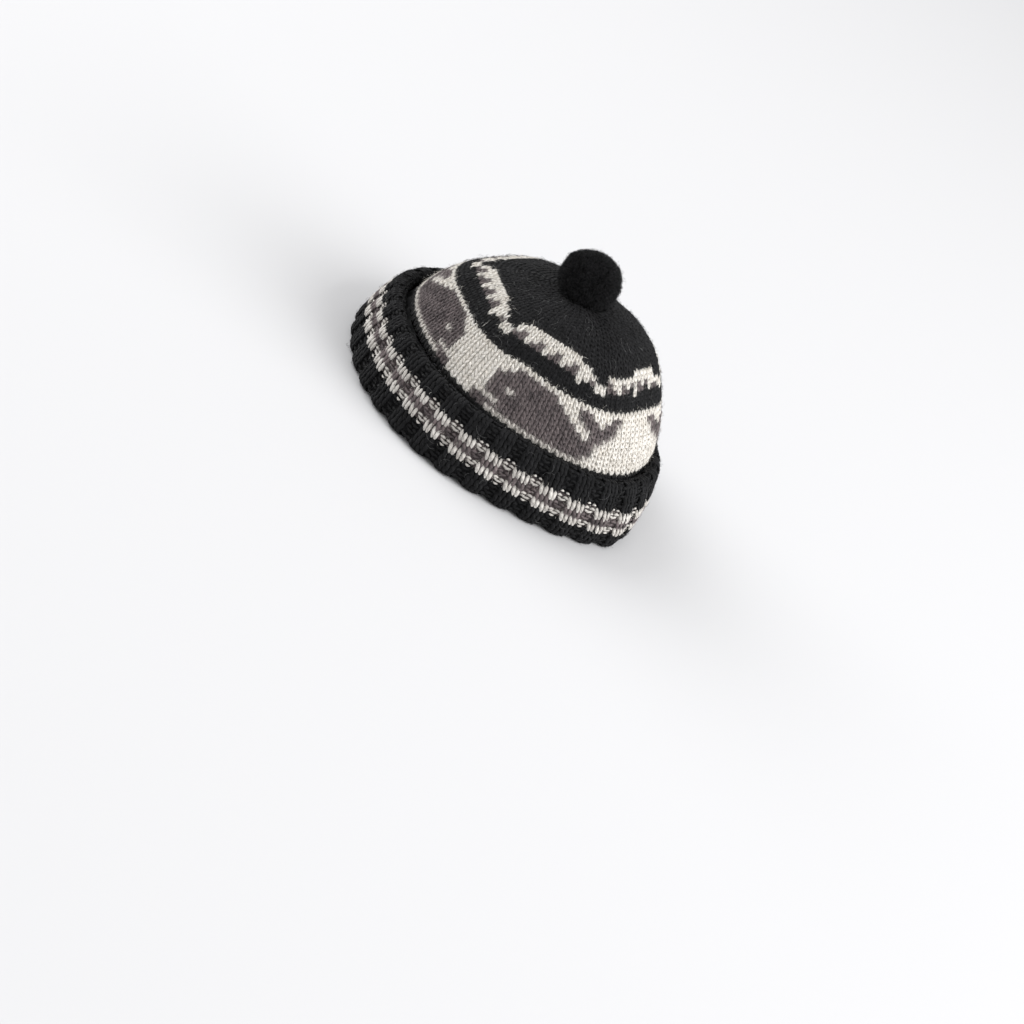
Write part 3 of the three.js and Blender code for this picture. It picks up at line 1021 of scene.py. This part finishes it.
for colour in (BLACK, CREAM, GREY):
    legs = cuff_legs(outside & (knit_yarn == colour), STRIPE_PROUD[colour])
    arcs = cuff_purls(colour, True, 5)
    show("cuff_" + YARN_NAMES[colour] + "_ribs", join([legs, arcs]), [CUFF_WOOLS[colour]])
inner_legs = cuff_legs(~outside, 0.0, 4, INNER_STATIONS)
inner_arcs = cuff_purls(BLACK, False, 4)
show("cuff_inner_ribs", join([inner_legs, inner_arcs]), [black_wool])

# %% Cuff fabric
CUFF_SHELL_OUTER, CUFF_SHELL_INNER = -0.9, -1.9
CUFF_AROUND = RIB_REPEATS * RIB_COLUMNS * 2


def cuff_shell_angle(index):
    return cuff_angle(index / 2)


def cuff_shell_yarn_and_shade(knit_row, column):
    """The fabric between the stripe's stitches lies in shade, so all three of its rows are painted grey as
    shade here.
    """
    return GREY if 0 <= knit_row < len(STRIPE) else BLACK


whole_rows = np.arange(math.ceil(cuff_first), cuff_last, 1.0)
cuff_rows = np.concatenate([[cuff_first], whole_rows, [cuff_last]])
shape, colours = shell(
    cuff_surface, cuff_rows, CUFF_SHELL_OUTER, CUFF_SHELL_INNER, cuff_shell_yarn_and_shade, cuff_shell_angle,
    CUFF_AROUND, False)
cuff_fabric = show("cuff_fabric", shape, WOOLS, colours)
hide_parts("cuff")

# %% [markdown]
# ## The pompom
# A pompom is a few hundred strands of yarn tied at the middle and trimmed to a ball. The cut ends
# open into fibres and felt together. Real hair would be too fine to keep as a mesh, so the ball
# is a lumpy core under thousands of short closed spikes, gathered towards their own yarn's end.

# %% Pompom core
POMPOM_RADIUS = 18.0
CORE_RADIUS = 15.2
SQUASH = np.array((1.05, 1.05, 0.95))  # the ball is a little wider than it is high
POMPOM_LEAN = np.array((0.4, -0.9, 0.0))  # it flops a little to the front
ball_middle = np.array([(low.x + high.x) / 2, (low.y + high.y) / 2, high.z - POMPOM_RADIUS * MM]) / MM
pompom_centre = ball_middle + POMPOM_LEAN
LUMP_SHARE = 0.6
POMPOM_FLOOR = low.z / MM + 0.2


def lumps(direction):
    """A slow swell over the ball, so that it isn't a perfect sphere."""
    x, y, z = direction.T
    return (
        0.55 * np.sin(3.1 * x + 1.3 * y + 0.4) + 0.5 * np.sin(3.7 * y - 2.2 * z + 1.9)
        + 0.45 * np.sin(4.3 * z + 2.6 * x + 5.1) + 0.3 * np.sin(7.1 * x - 5.3 * y + 2.2)
    )


def ball_directions(count):
    """Evenly spread directions over a sphere."""
    k = np.arange(count) + 0.5
    z = 1 - 2 * k / count
    around = k * math.pi * (3 - math.sqrt(5))
    flat = np.sqrt(1 - z * z)
    return np.stack([flat * np.cos(around), flat * np.sin(around), z], 1)


def pompom_core():
    sides, levels = 48, 30
    tilt = np.linspace(-math.pi / 2, math.pi / 2, levels + 2)[1:-1]
    turn = np.arange(sides) / sides * math.tau
    tilt_grid, turn_grid = np.meshgrid(tilt, turn, indexing="ij")
    direction = np.stack(
        [np.cos(tilt_grid) * np.cos(turn_grid), np.cos(tilt_grid) * np.sin(turn_grid), np.sin(tilt_grid)], -1
    ).reshape(-1, 3)
    direction = np.concatenate([direction, [(0, 0, -1), (0, 0, 1)]])
    points = pompom_centre + direction * SQUASH * (CORE_RADIUS + LUMP_SHARE * lumps(direction))[:, None]
    points[:, 2] = np.maximum(points[:, 2], POMPOM_FLOOR + 0.5)
    quads, tris = grain_faces(sides, levels)
    return {
        "points": points, "quads": quads, "tris": tris, "strand": np.zeros((len(points), 3)),
        "tone": rng.normal(0.2, 0.1, len(points)),
    }


core = show("pompom_core", pompom_core(), [black_wool])
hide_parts("pompom")

# %% Pompom pile
YARN_ENDS = 430
PILE_PER_END = 28
PILE_ROOT = 13.4  # the spikes start this far from the middle, inside the core
SPIKE_STATIONS = np.array((0.0, 0.6, 1.0))


def spikes(start, end, bend, radius, tone, stations=SPIKE_STATIONS):
    """Thin three-sided spikes, closed at both ends, from start to end and bowed sideways by bend."""
    t = stations[None, :, None]
    centre = start[:, None] + (end - start)[:, None] * t + bend[:, None] * (4 * t * (1 - t))
    facing = np.cross(end - start, bend + (0.01, 0.02, 0.03))
    facing /= np.maximum(np.linalg.norm(facing, axis=1, keepdims=True), 1e-9)
    normal = np.repeat(facing[:, None], len(stations), 1)
    taper = np.sin(math.pi * (0.15 + 0.7 * stations[1:-1]))[None, :] * radius[:, None]
    return grains(centre, normal, taper, taper, 3, tone)


def pompom_pile():
    ends = ball_directions(YARN_ENDS)
    own = np.repeat(ends, PILE_PER_END, 0)
    count = len(own)
    direction = own + rng.normal(0, 0.07, (count, 3))
    direction /= np.linalg.norm(direction, axis=1, keepdims=True)
    level = np.repeat(rng.normal(0, 0.35, YARN_ENDS), PILE_PER_END)
    reach = POMPOM_RADIUS - 0.5 + LUMP_SHARE * lumps(own) + level + rng.normal(0, 0.35, count)
    start = pompom_centre + own * SQUASH * PILE_ROOT
    end = pompom_centre + direction * SQUASH * reach[:, None]
    end[:, 2] = np.maximum(end[:, 2], POMPOM_FLOOR)
    start[:, 2] = np.maximum(start[:, 2], POMPOM_FLOOR + 0.4)
    bend = rng.normal(0, 0.4, (count, 3))
    tone = np.repeat(rng.normal(0.4, 0.3, YARN_ENDS), PILE_PER_END) + rng.normal(0, 0.2, count)
    return spikes(start, end, bend, rng.uniform(0.2, 0.38, count), tone)


show("pompom_pile", pompom_pile(), [black_wool])

# %% [markdown]
# ## The halo
# Wool of this kind is never bare. A nap of short fibres lies all over it and blurs the edges of the
# pattern, and here and there a long curly hair has worked loose. Hair particles would not come
# along with the mesh, so each fibre is a bowed three-sided needle that is closed at both ends.
# Loose fibres catch the light from all sides, so they look paler than the yarn they come from.

# %% Nap of short fibres
CROWN_FIBRES, TOP_FIBRES, CUFF_FIBRES, POMPOM_FIBRES = 34000, 9000, 18000, 5000
FIBRE_RADIUS = 0.07
LOOSE = {"sheen": 0.0, "ply_depth": 0.0001}  # a single fibre has no bloom and hardly a furrow
black_fuzz = wool(
    "black wool fuzz", (0.006, 0.006, 0.007), (0.034, 0.034, 0.036), (0.09, 0.09, 0.094), **LOOSE)
cream_fuzz = wool("cream wool fuzz", (0.66, 0.62, 0.55), (0.88, 0.85, 0.80), (0.95, 0.93, 0.9), **LOOSE)
grey_fuzz = wool("grey wool fuzz", (0.08, 0.066, 0.068), (0.30, 0.26, 0.26), (0.50, 0.45, 0.45), **LOOSE)
FUZZ = (black_fuzz, cream_fuzz, grey_fuzz)
stray_wool = wool("stray wool hair", (0.045, 0.045, 0.045), (0.15, 0.15, 0.15), (0.3, 0.3, 0.3), **LOOSE)
FUZZ_FIRST_ROW, FUZZ_EDGE = -3.4, 1.1  # the cuff's nap runs from the fold to just past the free edge
NAP_LEAN, NAP_LEAN_SPREAD = 0.82, 0.12  # 1 lies flat on the fabric


def nap(point, normal, length, lean):
    """Needles that start in the fabric and lean over by a random amount."""
    count = len(point)
    drift = rng.normal(0, 1, (count, 3))
    drift -= normal * (drift * normal).sum(1, keepdims=True)
    drift /= np.maximum(np.linalg.norm(drift, axis=1, keepdims=True), 1e-9)
    heading = normal * (1 - lean)[:, None] + drift * lean[:, None]
    start = point - normal * 0.3
    end = start + heading * length[:, None]
    bend = (normal * rng.uniform(0.05, 0.2, (count, 1)) + rng.normal(0, 0.1, (count, 3))) * length[:, None]
    tone = rng.normal(0.45, 0.4, count)
    return spikes(start, end, bend, np.full(count, FIBRE_RADIUS), tone, np.array((0.0, 0.5, 1.0)))


def crown_spots(count, start_row, end_row, crowding):
    """Random places of the crown; crowding 0.5 spreads them evenly over a cone."""
    share = rng.uniform(0, 1, count)
    along = start_row + (end_row - start_row) * (1 - (1 - share * 0.985) ** crowding)
    turn = rng.uniform(0, math.tau, count)
    point, normal = with_normals(crown_surface, along, turn)
    column = np.floor(np.mod(turn - math.radians(FIRST_LINE), math.tau) / math.tau * COLUMNS).astype(int)
    return point, normal, np.array([yarn_at(math.floor(a), c) for a, c in zip(along, column)])


def cuff_spots(count):
    along = rng.uniform(FUZZ_FIRST_ROW, cuff_last - FUZZ_EDGE, count)
    turn = rng.uniform(0, math.tau, count)
    point, normal = with_normals(cuff_surface, along, turn)
    return point, normal, np.array([cuff_yarn(math.floor(a)) for a in along])


def pompom_spots(count):
    out = ball_directions(count)
    out = out[out[:, 2] > -0.6]
    radius = POMPOM_RADIUS - 0.9 + LUMP_SHARE * lumps(out)
    return pompom_centre + out * SQUASH * radius[:, None], out, np.full(len(out), BLACK)


NAP = (
    ("crown", crown_spots(CROWN_FIBRES, crown_first + 0.3, BORDER_END + 0.5, 0.8)),
    ("top", crown_spots(TOP_FIBRES, BORDER_END, crown_last - 0.3, 0.5)),
    ("cuff", cuff_spots(CUFF_FIBRES)),
    ("pompom", pompom_spots(POMPOM_FIBRES)),
)
for name, (point, normal, fibre_yarn) in NAP:
    length = rng.gamma(4.0, 0.55, len(point)) + 0.8
    lean = np.clip(rng.normal(NAP_LEAN, NAP_LEAN_SPREAD, len(point)), 0.3, 0.98)
    for colour in (BLACK, CREAM, GREY):
        pick = fibre_yarn == colour
        if pick.any():
            fibres = nap(point[pick], normal[pick], length[pick], lean[pick])
            show(name + "_nap_" + YARN_NAMES[colour], fibres, [FUZZ[colour]])

# %% Long curly hairs
HAIR_STATIONS = 9
CROWN_HAIRS, CUFF_HAIRS = 260, 200
CROWN_HAIR_ROWS = (2, crown_last - 5)
CUFF_HAIR_ROWS = (-2.2, 5.2)
CROWN_ROW_TURN, CUFF_ROW_TURN = 0.055, 0.048  # radians round that are as long as one row is high


def curly_hairs(surface, along, turn, size_rows, size_turn):
    """Hairs that curl over the fabric: each is an arc of a circle that lies a little above it."""
    count = len(along)
    t = np.linspace(0, 1, HAIR_STATIONS)[None, :]
    start = rng.uniform(0, math.tau, (count, 1))
    sweep = rng.uniform(0.6, 3.6, (count, 1)) * rng.choice((-1, 1), (count, 1))
    bow = start + sweep * t + 0.25 * np.sin(t * rng.uniform(4, 9, (count, 1)))
    rows_at = along[:, None] + size_rows[:, None] * (np.cos(bow) - np.cos(start))
    turns_at = turn[:, None] + size_turn[:, None] * (np.sin(bow) - np.sin(start))
    point, normal = with_normals(surface, rows_at, turns_at)
    lift = 0.2 + rng.uniform(0.3, 1.5, (count, 1)) * np.sin(math.pi * t) ** 0.7
    centre = point + normal * lift[..., None]
    thin = np.full((count, HAIR_STATIONS - 2), FIBRE_RADIUS)
    return grains(centre, normal, thin, thin, 3, rng.normal(0.95, 0.25, count))


along = rng.uniform(*CROWN_HAIR_ROWS, CROWN_HAIRS)
size = rng.uniform(0.5, 1.7, CROWN_HAIRS)
turn = rng.uniform(0, math.tau, CROWN_HAIRS)
crown_hairs = curly_hairs(crown_surface, along, turn, size, size * CROWN_ROW_TURN)
along = rng.uniform(*CUFF_HAIR_ROWS, CUFF_HAIRS)
size = rng.uniform(0.4, 1.1, CUFF_HAIRS)
turn = rng.uniform(0, math.tau, CUFF_HAIRS)
cuff_hairs = curly_hairs(cuff_surface, along, turn, size, size * CUFF_ROW_TURN)
show("loose_hairs", join([crown_hairs, cuff_hairs]), [stray_wool])

# %% [markdown]
# ## Floor and light
# The floor is wide and pale, and a soft sky lights everything evenly. One large lamp behind and
# above the cap and a weaker one in front of it give the stitches a gentle direction.

# %% Floor
FLOOR_SIZE = 40.0
FLOOR_COLOUR = (0.61, 0.61, 0.62)


def plain_material(name, colour):
    material = bpy.data.materials.new(name)
    material.use_nodes = True
    shader = material.node_tree.nodes["Principled BSDF"]
    shader.inputs["Base Color"].default_value = (*colour, 1.0)
    shader.inputs["Roughness"].default_value = 0.9
    return material


floor_mesh = bpy.data.meshes.new("floor")
half = FLOOR_SIZE / 2
corners = [(-half, -half, 0), (half, -half, 0), (half, half, 0), (-half, half, 0)]
floor_mesh.from_pydata(corners, [], [(0, 1, 2, 3)])
floor_mesh.materials.append(plain_material("pale floor", FLOOR_COLOUR))
floor = bpy.data.objects.new("floor", floor_mesh)
bpy.context.scene.collection.objects.link(floor)

# %% Lights
LAMPS = (
    # name, direction from the cap, distance, size, power
    ("key", (-0.02, 0.87, 0.5), 3.0, 2.4, 108.0),
    ("fill", (-0.1, -0.85, 0.5), 3.0, 2.4, 84.0),
)
SKY_STRENGTH = 0.64
world = bpy.data.worlds.new("studio")
world.use_nodes = True
sky = world.node_tree.nodes["Background"]
sky.inputs["Color"].default_value = (1.0, 1.0, 1.0, 1.0)
sky.inputs["Strength"].default_value = SKY_STRENGTH
bpy.context.scene.world = world
bpy.context.scene.view_settings.view_transform = "Standard"
for name, direction, distance, size, power in LAMPS:
    data = bpy.data.lights.new(name, "AREA")
    data.size = size
    data.energy = power
    lamp = bpy.data.objects.new(name, data)
    spot = Vector(direction).normalized() * distance
    lamp.location = spot + Vector((0, 0, 0.05))
    lamp.rotation_euler = spot.to_track_quat("Z", "Y").to_euler()
    bpy.context.scene.collection.objects.link(lamp)
print("lights:", [name for name, *_ in LAMPS])

# %% Sizes, and the end
triangles = sum(count for _, count in made)
print(f"{len(made)} pieces, {triangles} triangles in all")
